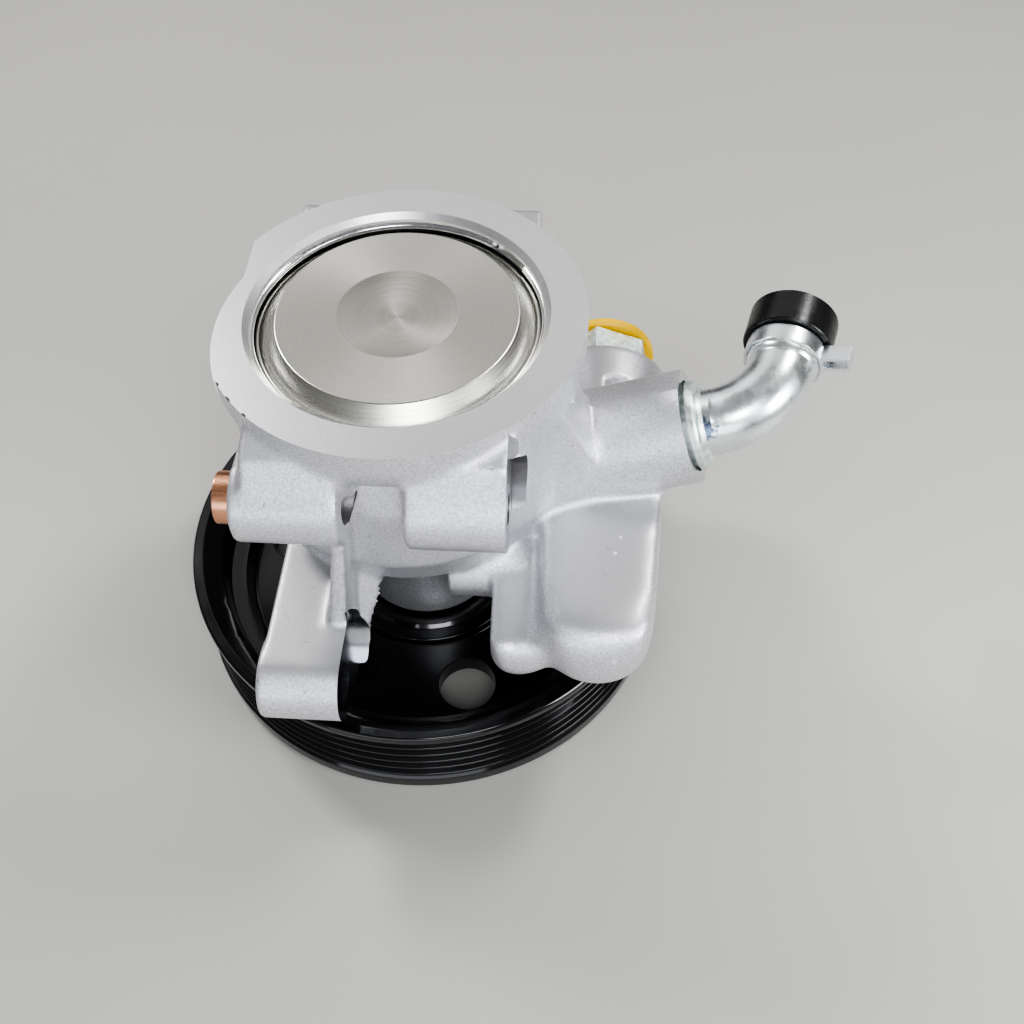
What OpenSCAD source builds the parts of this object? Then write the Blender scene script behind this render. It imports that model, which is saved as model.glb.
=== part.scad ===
// Power steering pump: vane pump in a cast housing, with belt pulley, inlet elbow and outlet union.
// Stands on the front face of the pulley. The shaft axis is +Z through the origin, the ears lie along X.

/* [Pulley] */
// Diameter over the pulley lips
pulley_od = 121.4; // [110:0.2:140]
// Width of the pulley rim
pulley_w = 26; // [25:0.5:27]
// Pitch of the belt grooves
rib_pitch = 3.56; // [3:0.01:3.8]
// Number of belt grooves
rib_count = 5; // [3:1:5]
// Depth of a belt groove
rib_depth = 2.9; // [2:0.1:3.2]
// Height of the plain lower lip
lip_low = 5.2; // [4.5:0.1:6]
// Radial height of the lips over the groove crests
lip_rise = 0.8; // [0.4:0.1:2]
// Thickness of the rim under the grooves
rim_wall = 3.4; // [2.5:0.1:5]
// Step at the foot of the rim
rim_step = 4.6; // [3:0.1:7]
// Top of the pulley web
web_z = 9.5; // [8.5:0.5:10]
// Thickness of the pulley web
web_t = 5.5; // [4:0.5:6]
// Radius of the pulley hub
hub_r = 21; // [18:0.5:25]
// Number of lightening holes in the web
web_holes = 6; // [3:1:6]
// Diameter of a lightening hole
web_hole_d = 14.4; // [8:0.2:16]
// Radius on which the lightening holes lie
web_hole_pcr = 38.5; // [36:0.5:40]
// Turn of the first lightening hole
web_hole_turn = -70; // [-90:1:90]

/* [Housing] */
// Radius of the collar ring
collar_r = 40; // [39:0.1:42]
// Height of the collar top face
top_z = 102.6; // [102:0.1:104]
// Height of the collar band
collar_h = 9; // [6:0.5:11]
// Radius of the body under the collar
body_r = 37.2; // [36.5:0.1:38.5]
// Height of the ledge at the foot of the body
ledge_z = 61; // [59:0.5:63]
// Bottom of the body
body_z = 50.5; // [49:0.5:51]
// Radius at the bottom of the body
foot_r = 33; // [31:0.5:35]
// Radius of the nose
nose_r = 19; // [17.5:0.5:21]
// Bottom of the nose
nose_z = 13; // [12.5:0.1:15]
// Distance of the flat from the shaft axis
flat_x = 34.3; // [33.8:0.1:38]
// Depth of the flat below the top face
flat_h = 5.8; // [3:0.1:8]
// Width of the flat pad on the back
pad_w = 56.6; // [48:0.2:58]
// Distance of the back pad from the shaft axis
pad_y = 42.6; // [41:0.1:45]
// Height of the back pad
pad_h = 26.5; // [20:0.5:30]
// Depth of the back pad below the top face
pad_drop = 6.6; // [5:0.1:9]
// Radius of the cartridge bore
bore_r = 31; // [30.6:0.1:31.4]
// Width of the chamfer at the bore mouth
bore_chamfer = 1.6; // [0.5:0.1:2]
// Floor of the cartridge bore
floor_z = 57; // [56:0.5:58]

/* [Ears] */
// Distance of the ear axis in front of the shaft axis
ear_y = 36; // [34:0.5:40]
// Height of the ear axis
ear_z = 83.5; // [81:0.5:86]
// Outer radius of the ears
ear_r = 9; // [8:0.1:10.5]
// Left end of the left ear
left_ear_x = -30; // [-33:0.5:-27]
// Length of the left ear
left_ear_len = 22.2; // [18:0.2:25]
// Left end of the right ear
right_ear_x = 5; // [2:0.5:7]
// Machined face of the right ear
right_face_x = 25.4; // [23:0.2:28]
// Depth of the hollow in the body wall between the ears
ear_hollow = 3.2; // [2:0.1:3.6]
// Radius of the spot face beside the right ear
spot_r = 12; // [10:0.5:14]
// Diameter of the bolt holes
bolt_d = 8.7; // [8:0.1:9]
// Diameter of the tapped hole in the right ear
tap_d = 6.8; // [6:0.1:8.2]
// Depth of the tapped hole in the right ear
tap_len = 16; // [10:0.5:19]
// Outer diameter of the copper bush
bush_od = 11; // [10.6:0.1:12]
// Length of the copper bush
ear_bush_len = 20; // [16:0.5:24]
// Length of the copper bush that stands out
bush_out = 4; // [1:0.5:8]

/* [Lower lug] */
// Distance of the lug axis in front of the shaft axis
lug_y = 55.5; // [53:0.5:58]
// Height of the lug axis
lug_z = 43.3; // [40:0.5:47]
// Outer radius of the lug
lug_r = 8.6; // [7.5:0.1:10]
// Left end of the lug
lug_x = -28.5; // [-32:0.5:-25]
// Machined right face of the lug
lug_face_x = -10.4; // [-13:0.2:-8]
// Radius of the spot face beside the lug
lug_spot_r = 16.2; // [14:0.1:18]
// Distance of the lower rear edge of the arm in front of the shaft axis
arm_rear = 43.5; // [42:0.5:45]
// Width of the upright rib at its foot on the arm
rib_foot = 4.4; // [3:0.1:6]
// Width of the upright rib under the ear
rib_head = 2.6; // [2:0.1:4]

/* [Valve housing] */
// Distance of the valve axis beside the shaft axis
valve_x = 44.6; // [43.5:0.1:46]
// Height of the valve axis
valve_z = 48; // [46:0.5:50]
// Front end of the valve housing
valve_front = -53; // [-58:0.5:-51]
// Back face of the valve housing
valve_back = 30; // [28:0.5:33]
// Radius of the valve housing at the front
valve_r1 = 12.4; // [11.6:0.1:13.5]
// Radius of the valve housing at the back
valve_r2 = 17; // [15.5:0.1:18]
// Rounding of the front end
valve_round = 9.6; // [5:0.1:11]
// Height of the level top above the valve axis
valve_flat = 10.5; // [9.8:0.1:12]
// Radius of the spool bore
spool_bore_r = 8; // [7.5:0.1:8.6]
// Radius of the passage lobe
lobe_r = 7.2; // [6:0.1:8]
// Distance of the passage lobe beside the shaft axis
lobe_x = 28.2; // [26:0.2:30]
// Height of the passage lobe
lobe_z = 44; // [42:0.5:45]
// Front end of the passage lobe
lobe_front = -50.5; // [-53:0.5:-47]
// Height of the level top above the lobe axis
lobe_flat = 6.4; // [5.5:0.1:7]

/* [Inlet] */
// Centre of the inlet boss face, beside the shaft axis
boss_x = 64.5; // [62:0.5:68]
// Centre of the inlet boss face, height
boss_z = 70; // [68:0.5:73]
// Upward tilt of the inlet boss
boss_tilt = 20; // [15:1:25]
// Radius of the inlet boss
boss_r = 13.1; // [12.6:0.1:14]
// Length of the inlet boss
boss_len = 27; // [24:0.5:30]
// Depth of the ground flat on top of the inlet boss
boss_flat = 0.9; // [0.5:0.1:1.2]
// Length of the ground flat on top of the inlet boss
boss_flat_len = 12; // [8:0.5:13]
// Radius of the collar on the pipe
pipe_collar_r = 10.2; // [9.8:0.1:10.4]
// Outer radius of the pipe
pipe_r = 7.7; // [7:0.1:8]
// Wall of the pipe
pipe_wall = 1.2; // [0.8:0.1:2]
// Straight length before the bend
pipe_lead = 5.5; // [4:0.5:12]
// Bend radius of the pipe centre line
pipe_bend_r = 16; // [13:0.5:24]
// Angle of the pipe bend
pipe_bend = 74; // [45:1:95]
// Straight length after the bend, up to the cap
pipe_tail = 6.5; // [6:0.5:16]
// Radius of the widened pipe end
pipe_end_r = 8.3; // [8.2:0.1:9]
// Width of the hose clip
clip_w = 4.4; // [3:0.1:5.5]
// Length of the pinched ear of the hose clip
clip_ear = 6.6; // [4:0.1:8]
// Outer radius of the rubber cap
cap_r = 10.2; // [9.8:0.1:12]
// Length of the rubber cap
cap_len = 10; // [8.5:0.5:16]

/* [Outlet] */
// Hexagon of the union across flats
hex_af = 22; // [20:0.5:24]
// Length of the union hexagon
hex_len = 11; // [8:0.5:14]
// Radius of the flange on the plastic plug
plug_r = 13; // [11:0.2:15]
// Thickness of the flange on the plastic plug
plug_t = 2.6; // [1.5:0.1:4]

/* [Cartridge] */
// Thickness of the front plate
front_plate_t = 6; // [4:0.5:7]
// Thickness of the pressure plate
plate_t = 7; // [6:0.5:8]
// Smallest radius of the cam
cam_r = 21.4; // [20.8:0.1:22.2]
// Rise of the cam on the long axis
cam_rise = 2.4; // [1.5:0.1:3]
// Radius of the rotor
rotor_r = 19.6; // [18:0.1:20]
// Number of vanes
vane_count = 10; // [6:2:12]
// Thickness of a vane
vane_t = 1.6; // [1.2:0.1:2]
// Radius of the drive shaft
shaft_r = 8; // [7.4:0.1:8.4]
// Thickness of the rear cover
cover_t = 10.7; // [9.5:0.1:12]
// Gap between the pressure plate and the cover
cover_gap = 3; // [2:0.1:4]
// Depth of the spring recess in the cover
cover_recess = 3; // [2:0.1:4]
// Inner radius of the cover spring
cover_spring_r1 = 12; // [10:0.5:14]
// Outer radius of the cover spring
cover_spring_r2 = 18.2; // [16:0.1:20]
// Height of the cover plateau below the collar top
cover_drop = 0.5; // [0.2:0.1:1]
// Radius of the cover plateau
plateau_r = 25.6; // [24:0.1:27.5]
// Radius of the dished centre of the cover
dish_r = 13; // [8:0.5:16]
// Depth of the dished centre of the cover
dish_deep = 1.2; // [0.6:0.1:1.6]

/* [Shaft support] */
// Length of a shaft bush
bush_len = 14.5; // [10:0.5:16]
// Wall of a shaft bush
bush_wall = 2; // [1.5:0.1:2.5]
// Height of the shaft seal
seal_h = 6.5; // [5:0.1:8]
// Radial width of the shaft seal
seal_w = 5; // [4:0.1:6]
// Radius of the puller hole in the shaft end
puller_r = 3.4; // [2.5:0.1:4.2]
// Depth of the puller hole
puller_len = 18; // [10:1:30]

/* [Flow valve] */
// Wall in front of the spool bore
valve_wall = 14; // [11:0.5:16]
// Length of the spool
spool_len = 23; // [20:0.5:26]
// Length of a land of the spool
spool_land = 7; // [6:0.5:8]
// Length of the groove between the lands
spool_groove = 5; // [3:0.5:6]
// Radius of the flow spring at its wire centre
flow_spring_r = 5.6; // [5:0.1:6]
// Wire radius of the flow spring
flow_wire = 0.9; // [0.6:0.1:1.1]
// Depth of the union thread
union_len = 14; // [12:0.5:16]
// Radius of the bore through the union
union_bore_r = 4.2; // [3:0.1:5]
// Radius of the shank of the plastic plug
shank_r = 6.7; // [6:0.1:7.5]
// Length of the shank of the plastic plug
shank_len = 6.5; // [4:0.5:8]

/* [Fits] */
// Radial running fit of turning and sliding parts
run_fit = 0.04; // [0.01:0.01:0.08]
// Gap between neighbouring faces
seat_gap = 0.3; // [0.2:0.05:0.4]
// Radial gap of parts seated in bores
slip_gap = 0.05; // [0.02:0.01:0.1]

/* [Hidden] */
$fa = 6;
$fs = 0.8;
pulley_r = pulley_od / 2;
crest_r = pulley_r - lip_rise;
rim_in = crest_r - rib_depth - rim_wall;
ribs_top = lip_low + rib_count * rib_pitch;
collar_z = top_z - collar_h;
body_draft = 0.5;
ear_web = 2 * ear_r - 0.9;
bridge_z = ear_z + ear_r + (top_z - 2 - ear_z - ear_r) * 0.57;
arm_top = lug_z + lug_r;
arm_draft = 0.8;
arm_low = lug_z - lug_r;
arm_root = foot_r - 15;
arm_side = [[-lug_y, arm_top], [-lug_y, arm_low], [-arm_rear, arm_low - 3.4], [-foot_r, body_z - 2],
  [-arm_root, body_z - 2], [-arm_root, arm_top]];
gusset_front = lug_y - 9;
passage_x = 10;
passage_r = 8;
valve_flat_back = -8;
lobe_back = -8;
lobe_flat_back = -12;
rib_x = lug_face_x + 0.2;
rib_lean = 2.4;
hollow_r = 7;
hollow_z = ear_z + 3.8;
hollow_x = left_ear_x + left_ear_len + 2.6;
gusset_turn = 54.5;
gusset_lean = 18.5;
bolt_r = bolt_d / 2;
bush_r = bush_od / 2;
thread_r = spool_bore_r + 1.6;
union_seat = valve_back - union_len;
bore_front = valve_front + valve_wall;
spool_y = union_seat - seat_gap - spool_len;
hex_y = valve_back + seat_gap;
plug_y = hex_y + hex_len + seat_gap;
plateau_z = top_z - cover_drop;
cover_z = plateau_z - cover_t;
stack4 = cover_z - cover_gap;
stack3 = stack4 - plate_t;
stack1 = floor_z + seat_gap;
stack2 = stack1 + front_plate_t + slip_gap;
cam_t = stack3 - slip_gap - stack2;
cam_ring_r = bore_r - 1;
dowel_pcr = (cam_r + cam_rise * 0.8 + cam_ring_r) / 2;
dowel_r = 1.5;
cover_rim_z = plateau_z - 3.6;
cover_spring_h = cover_gap + cover_recess - seat_gap - slip_gap;
wire_r = 0.95;
ring_z = cover_rim_z + wire_r + slip_gap;
ring_r = bore_r + 1.15 - wire_r;
seal_r = shaft_r + seal_w;
shaft_top = stack3 + 3.5;
journal_r = shaft_r - 1.2;
hub_top = nose_z - 1;
cap_in = cap_len - 2.3;
tail_in = cap_in - seat_gap;
spring_space = spool_y - bore_front - seat_gap * 2;
gap_from = 34;
gap_to = 54;

// Frame with +Z along X at the ear axis
module at_ear(x) {
  translate([x, -ear_y, ear_z])
    rotate([0, 90, 0]) children();
}

// Frame with +Z along X at the lug axis
module at_lug(x) {
  translate([x, -lug_y, lug_z])
    rotate([0, 90, 0]) children();
}

// Frame with +Z along the valve axis, towards the union
module at_valve(y) {
  translate([valve_x, y, valve_z])
    rotate([-90, 0, 0]) children();
}

// Frame with +Z out of the inlet boss face
module at_boss() {
  translate([boss_x, 0, boss_z])
    rotate([0, 90 - boss_tilt, 0]) children();
}

// Frame with +Z along the pipe where the bend ends
module at_tail() {
  at_boss()
    translate([0, pipe_bend_r * (1 - cos(pipe_bend)), pipe_lead + pipe_bend_r * sin(pipe_bend)])
      rotate([-pipe_bend, 0, 0]) children();
}

// Turned ring between two radii
module tube(r1, r2, h) {
  difference() {
    cylinder(r = r2, h = h);
    translate([0, 0, -1]) cylinder(r = r1, h = h + 2);
  }
}

// Ring of round section
module torus(ring, wire) {
  rotate_extrude() translate([ring, 0]) circle(r = wire);
}

// Prism with a side outline given in Y and Z
module side_prism(x1, x2, pts) {
  translate([x1, 0, 0])
    rotate([90, 0, 90])
      linear_extrude(height = x2 - x1) polygon(pts);
}

// Prism with a front outline given in X and Z
module front_prism(y1, y2, pts) {
  translate([0, y2, 0])
    rotate([90, 0, 0])
      linear_extrude(height = y2 - y1) polygon(pts);
}

// Turned outside of the housing: nose, body and collar
module body_outside() {
  rotate_extrude()
    polygon([[0, nose_z], [nose_r - 1.5, nose_z], [nose_r - 0.5, nose_z + 1], [nose_r, body_z + 0.5],
      [foot_r - 1.5, body_z], [foot_r, body_z + 1.2], [body_r - 2, ledge_z - 2.5], [body_r - 0.6, ledge_z],
      [body_r, ledge_z + 1], [body_r + body_draft, collar_z - 8], [collar_r - 0.6, collar_z],
      [collar_r, collar_z + 3], [collar_r, top_z - 0.5], [collar_r - 0.5, top_z], [0, top_z]]);
}

// Both ears with the walls and the sloping bridge that join them to the body
module ears_outside() {
  slope = [[-ear_y - ear_r * 0.62, ear_z + ear_r * 0.76], [-ear_y - 1.5, bridge_z], [-ear_y + 7, top_z - 2.2],
    [-15, top_z - 2.2], [-15, ear_z]];
  side_prism(left_ear_x + 2.6, left_ear_x + left_ear_len - 0.4, slope);
  side_prism(right_ear_x + 0.4, right_face_x + 1.6, slope);
  side_prism(left_ear_x + 2.6, right_face_x + 2, [[-ear_y - ear_r * 0.32, ear_z + ear_r * 1.11],
    [-ear_y - 1.5, bridge_z], [-ear_y + 7, top_z - 2], [-15, top_z - 2], [-15, ear_z + 2],
    [-ear_y + 1, ear_z + ear_r * 0.78]]);
  at_ear(left_ear_x) cylinder(r = ear_r, h = left_ear_len);
  translate([left_ear_x, -ear_y, ear_z - ear_web / 2]) cube([left_ear_len, ear_y - 14, ear_web]);
  at_ear(right_ear_x) cylinder(r = ear_r, h = right_face_x + 3 - right_ear_x);
  translate([right_ear_x, -ear_y, ear_z - ear_web / 2])
    cube([right_face_x + 2 - right_ear_x, ear_y - 16, ear_web]);
}

// Bar with a round underside and a level top; it runs along Y from its rounded front end
module level_bar(x, z, r1, r2, front, back, round, flat, flat_back) {
  side = [for (a = [0:15:90]) [r1 - round + round * sin(a), front + round - round * cos(a)]];
  flat_r = r1 + (r2 - r1) * (flat_back - front - round) / (back - front - round);
  edge = flat - 2.4;
  difference() {
    union() {
      translate([x, 0, z])
        rotate([-90, 0, 0])
          rotate_extrude()
            polygon(concat([[0, front]], side, [[r2, back - 0.6], [r2 - 0.6, back], [0, back]]));
      intersection() {
        translate([x, 0, z])
          linear_extrude(height = flat)
            polygon(concat(side, [[flat_r, flat_back], [-flat_r, flat_back]],
              [for (i = [len(side) - 1:-1:0]) [-side[i][0], side[i][1]]]));
        side_prism(x - r2, x + r2, concat([for (a = [0:15:90])
          [front + edge - edge * cos(a), z + flat - edge + edge * sin(a)]],
          [[flat_back + 1, z + flat], [flat_back + 1, z - 1], [front, z - 1]]));
      }
    }
    translate([x - r2 - 1, front - 1, z + flat]) cube([2 * r2 + 2, flat_back - front + 1, r2]);
  }
}

// Arm with a level top, the lug at its front end, an upright rib to the ear and a slanting gusset
module arm_outside() {
  at_lug(lug_x) cylinder(r = lug_r, h = lug_face_x - lug_x);
  intersection() {
    side_prism(lug_x - 1, lug_face_x + 1, arm_side);
    front_prism(-lug_y - 1, -10, [[lug_x, lug_z], [lug_x + arm_draft, arm_top], [rib_x, arm_top],
      [rib_x, arm_low], [lug_x + arm_draft, arm_low]]);
  }
  intersection() {
    side_prism(lug_x, lug_face_x + 10, [[-gusset_front, arm_top - 1], [-ear_y - ear_r * 0.7, ear_z - 7.5],
      [-ear_y, ear_z - 3], [-foot_r + 5, ear_z - 3], [-foot_r + 5, arm_top - 1]]);
    front_prism(-lug_y, -10, [[rib_x - rib_foot, arm_top - 1], [rib_x, arm_top - 1],
      [rib_x + rib_lean, ear_z - 3], [rib_x + rib_lean - rib_head, ear_z - 3]]);
  }
  difference() {
    side_prism(lug_face_x - 2, lug_face_x + 9, [[-gusset_front, arm_low - 1], [-gusset_front, ledge_z],
      [-foot_r + 3, ledge_z], [-foot_r + 3, body_z + 2], arm_side[3], arm_side[2]]);
    translate([rib_x, -lug_y + lug_spot_r, lug_z])
      rotate([0, -gusset_lean, -gusset_turn])
        translate([0, -40, -40]) cube([40, 80, 80]);
  }
}

// Valve housing, round to the back and with a level top in front
module valve_outside() {
  level_bar(valve_x, valve_z, valve_r1, valve_r2, valve_front, valve_back, valve_round, valve_flat,
    valve_flat_back);
}

// Passage lobe beside the valve housing, and the passage from the nose to it
module lobe_outside() {
  level_bar(lobe_x, lobe_z, lobe_r, lobe_r + 0.8, lobe_front, lobe_back, 5, lobe_flat, lobe_flat_back);
  translate([passage_x, -nose_r - 4.4, lobe_z + 1.5])
    rotate([0, 90, 0]) cylinder(r = passage_r, h = lobe_x - passage_x);
}

// Inlet boss and the web between boss, valve housing and body
module boss_outside() {
  at_boss() translate([0, 0, -boss_len]) cylinder(r = boss_r, h = boss_len);
  intersection() {
    front_prism(-25, 3, [[20, valve_z - 6], [valve_x + 6, valve_z - 4], [valve_x + 9, valve_z + 12],
      [boss_x - boss_len * 0.58, boss_z + 8], [boss_x - boss_len * 0.82, boss_z + 11.5],
      [body_r + 3, collar_z - 5], [collar_r - 1, collar_z + 2], [20, collar_z + 2]]);
    translate([0, 0, valve_z - 10])
      linear_extrude(height = top_z - valve_z)
        polygon([[20, -22.3], [body_r - 3.4, -16.8], [valve_x + 1.7, -boss_r + 1.3],
          [valve_x + 12, -boss_r + 5], [valve_x + 12, 4], [20, 4]]);
  }
}

// Flat pad on the back of the body
module pad_outside() {
  translate([-pad_w / 2, 0, top_z - pad_drop - pad_h]) cube([pad_w, pad_y, pad_h]);
}

module pump_housing() {
  color([0.78, 0.79, 0.80])
  difference() {
    union() {
      body_outside();
      ears_outside();
      arm_outside();
      valve_outside();
      lobe_outside();
      boss_outside();
      pad_outside();
    }
    // cartridge bore with ring groove and chamfer
    translate([0, 0, floor_z]) cylinder(r = bore_r, h = top_z - floor_z + 1);
    translate([0, 0, ring_z - wire_r - slip_gap])
      cylinder(r = bore_r + 1.3, h = 2 * wire_r + 2 * slip_gap);
    translate([0, 0, top_z - bore_chamfer])
      cylinder(r1 = bore_r, r2 = bore_r + bore_chamfer + 0.2, h = bore_chamfer + 0.2);
    // shaft bore with bush seats and seal pocket
    translate([0, 0, nose_z - 1]) cylinder(r = shaft_r + 0.5, h = floor_z - nose_z + 2);
    translate([0, 0, nose_z + seal_h + 3])
      cylinder(r = shaft_r + bush_wall, h = floor_z - nose_z - seal_h - 2);
    translate([0, 0, nose_z - 1]) cylinder(r = seal_r, h = seal_h + 1);
    // flat on the collar
    translate([-flat_x - 20, -50, top_z - flat_h]) cube([20, 100, flat_h + 1]);
    // machined face and spot face of the right ear
    at_ear(right_face_x) cylinder(r = spot_r, h = 20);
    translate([right_face_x, -ear_y - 20, ear_z - ear_r - 2]) cube([20, 22, 40]);
    // bolt holes
    at_ear(left_ear_x - bush_out) cylinder(r = bush_r + slip_gap, h = ear_bush_len + seat_gap);
    at_ear(left_ear_x) cylinder(r = bolt_r + seat_gap, h = left_ear_len + 3);
    at_ear(right_face_x - tap_len) cylinder(d = tap_d, h = tap_len + 1);
    at_lug(lug_x - 1) cylinder(r = bolt_r, h = 60);
    at_lug(lug_face_x) cylinder(r = lug_spot_r, h = 30);
    // hollow between the ears
    translate([hollow_x, ear_hollow - body_r - hollow_r, hollow_z])
      rotate([0, 90, 0]) cylinder(r = hollow_r, h = right_ear_x - hollow_x - 0.3);
    // valve bore with the union thread and its O-ring seat
    at_valve(bore_front) cylinder(r = spool_bore_r, h = valve_back - bore_front + 1);
    at_valve(union_seat) cylinder(r = thread_r, h = union_len + 1);
    // ground flat, a little behind the top of the boss
    at_boss()
      rotate([0, 0, -20])
        translate([-boss_r - 20 + boss_flat, -20, -boss_flat_len]) cube([20, 40, boss_flat_len + 1]);
    // inlet bore, feed to the valve bore and passage from the cartridge
    at_boss() translate([0, 0, -14]) cylinder(r = pipe_collar_r + seat_gap, h = 16);
    at_boss() translate([0, 0, -19]) cylinder(r = 5.5, h = 20);
    translate([valve_x + 3, 0, valve_z]) cylinder(r = 4, h = boss_z - valve_z - 6);
    translate([20, 7, floor_z + 9]) rotate([0, 118, 0]) cylinder(r = 3, h = 27);
  }
}

module rear_cover() {
  color([0.80, 0.80, 0.78])
  difference() {
    rotate_extrude()
      polygon([[0, cover_z + cover_recess], [cover_spring_r2 + 0.8, cover_z + cover_recess],
        [cover_spring_r2 + 1.8, cover_z], [bore_r - 1.2, cover_z],
        [bore_r - slip_gap, cover_z + 1], [bore_r - slip_gap, cover_rim_z - 0.4],
        [bore_r - 0.4, cover_rim_z - 0.05], [bore_r - 1.6, cover_rim_z], [plateau_r, plateau_z],
        for (t = [1:-0.25:0]) [dish_r * t, plateau_z - dish_deep * (1 - t * t)]]);
    translate([0, 0, cover_z + 2.2]) tube(bore_r - 2, bore_r + 1, 2.6);
  }
}

module retaining_ring() {
  color([0.62, 0.63, 0.65])
  translate([0, 0, ring_z])
    rotate([0, 0, gap_to])
      rotate_extrude(angle = 360 - gap_to + gap_from)
        translate([ring_r, 0]) circle(r = wire_r);
}

module cover_o_ring() {
  color([0.08, 0.08, 0.08])
  translate([0, 0, cover_z + 3.5]) torus(bore_r - 1.05, 0.9);
}

// Conical spring washer between the cover and the pressure plate
module cover_spring() {
  color([0.45, 0.46, 0.48])
  translate([0, 0, stack4 + slip_gap])
    rotate_extrude()
      polygon([[cover_spring_r1, 0], [cover_spring_r1 + 1.4, 0], [cover_spring_r2, cover_spring_h - 1.2],
        [cover_spring_r2, cover_spring_h], [cover_spring_r2 - 1.2, cover_spring_h], [cover_spring_r1, 1.2]]);
}

module pressure_plate() {
  color([0.60, 0.60, 0.62])
  difference() {
    translate([0, 0, stack3]) cylinder(r = bore_r - slip_gap, h = plate_t);
    translate([0, 0, stack3 - 1]) cylinder(r = journal_r + 0.5, h = plate_t + 2);
    translate([0, 0, stack3 + 2.4]) tube(bore_r - 2, bore_r + 1, 2.6);
    for (a = [0, 180])
      rotate([0, 0, a + 45]) {
        translate([cam_r - 2, 0, stack3 - 1]) cylinder(r = 2.6, h = plate_t + 2);
        translate([-dowel_pcr, 0, stack3 - 1]) cylinder(r = dowel_r, h = 4.5);
      }
  }
}

module plate_o_ring() {
  color([0.08, 0.08, 0.08])
  translate([0, 0, stack3 + 3.7]) torus(bore_r - 1.05, 0.9);
}

// Bore of the cam: two rises on the long axis
module cam_outline() {
  circle(r = cam_r);
  translate([cam_rise, 0]) circle(r = cam_r - 0.1);
  translate([-cam_rise, 0]) circle(r = cam_r - 0.1);
}

module cam_ring() {
  color([0.50, 0.50, 0.52])
  difference() {
    translate([0, 0, stack2]) cylinder(r = cam_ring_r, h = cam_t);
    translate([0, 0, stack2 - 1]) linear_extrude(height = cam_t + 2) cam_outline();
    for (a = [45, 225])
      rotate([0, 0, a]) translate([-dowel_pcr, 0, stack2 - 1]) cylinder(r = dowel_r, h = cam_t + 2);
  }
}

module front_plate() {
  color([0.60, 0.60, 0.62])
  difference() {
    translate([0, 0, stack1]) cylinder(r = bore_r - slip_gap, h = front_plate_t);
    translate([0, 0, stack1 - 1]) cylinder(r = shaft_r + 0.5, h = front_plate_t + 2);
    for (a = [0, 180])
      rotate([0, 0, a + 45]) {
        translate([cam_r - 2, 0, stack1 + 3]) cylinder(r = 2.6, h = front_plate_t);
        translate([-dowel_pcr, 0, stack1 + 2]) cylinder(r = dowel_r, h = front_plate_t);
      }
  }
}

module rotor() {
  color([0.42, 0.42, 0.44])
  difference() {
    translate([0, 0, stack2 + seat_gap]) cylinder(r = rotor_r, h = cam_t - 2 * seat_gap);
    translate([0, 0, stack2 - 1]) cylinder(r = journal_r + slip_gap, h = cam_t + 2);
    for (i = [0:vane_count - 1])
      rotate([0, 0, i * 360 / vane_count])
        translate([journal_r + 4.5, -vane_t / 2 - slip_gap, stack2 - 1])
          cube([30, vane_t + 2 * slip_gap, cam_t + 2]);
  }
}

module vanes() {
  color([0.66, 0.66, 0.68])
  for (i = [0:vane_count - 1])
    rotate([0, 0, i * 360 / vane_count])
      translate([journal_r + 5, -vane_t / 2, stack2 + seat_gap])
        cube([cam_r - seat_gap - journal_r - 5, vane_t, cam_t - 2 * seat_gap]);
}

module dowel_pins() {
  color([0.70, 0.70, 0.72])
  for (a = [45, 225])
    rotate([0, 0, a])
      translate([-dowel_pcr, 0, stack1 + 2 + slip_gap])
        cylinder(r = dowel_r - slip_gap, h = front_plate_t - 2 + cam_t + 3);
}

module rotor_clip() {
  color([0.35, 0.35, 0.37])
  translate([0, 0, stack3 - seat_gap + 0.02])
    rotate([0, 0, 20])
      rotate_extrude(angle = 320)
        translate([journal_r - 1.1, 0]) square([1.3, 1.1]);
}

module drive_shaft() {
  color([0.58, 0.58, 0.60])
  difference() {
    rotate_extrude()
      polygon([[0, 0], [shaft_r - 1, 0], [shaft_r, 1], [shaft_r, stack2 - 1],
        [journal_r, stack2 - 1], [journal_r, stack3 - seat_gap], [journal_r - 1.15, stack3 - seat_gap],
        [journal_r - 1.15, stack3 + 0.9], [journal_r, stack3 + 0.9], [journal_r, shaft_top - 0.8],
        [journal_r - 0.8, shaft_top], [0, shaft_top]]);
    translate([0, 0, -1]) cylinder(r = puller_r, h = puller_len + 1);
  }
}

module rear_bush() {
  color([0.62, 0.47, 0.28])
  translate([0, 0, floor_z - bush_len - 0.5])
    tube(shaft_r + run_fit, shaft_r + bush_wall - slip_gap, bush_len);
}

module front_bush() {
  color([0.62, 0.47, 0.28])
  translate([0, 0, nose_z + seal_h + 3 + seat_gap])
    tube(shaft_r + run_fit, shaft_r + bush_wall - slip_gap, bush_len);
}

module shaft_seal() {
  color([0.10, 0.10, 0.11])
  translate([0, 0, nose_z + 0.2])
    rotate_extrude()
      polygon([[shaft_r + run_fit, 2.6], [shaft_r + run_fit, 3.2], [shaft_r + 1.6, seal_h - 0.5],
        [seal_r - 2, seal_h - 0.5], [seal_r - 2, 1.4], [seal_r - 1.2, 1.4], [seal_r - 1.2, seal_h - 0.6],
        [seal_r - slip_gap, seal_h - 0.6], [seal_r - slip_gap, 0], [shaft_r + 1.8, 0]]);
}

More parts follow.
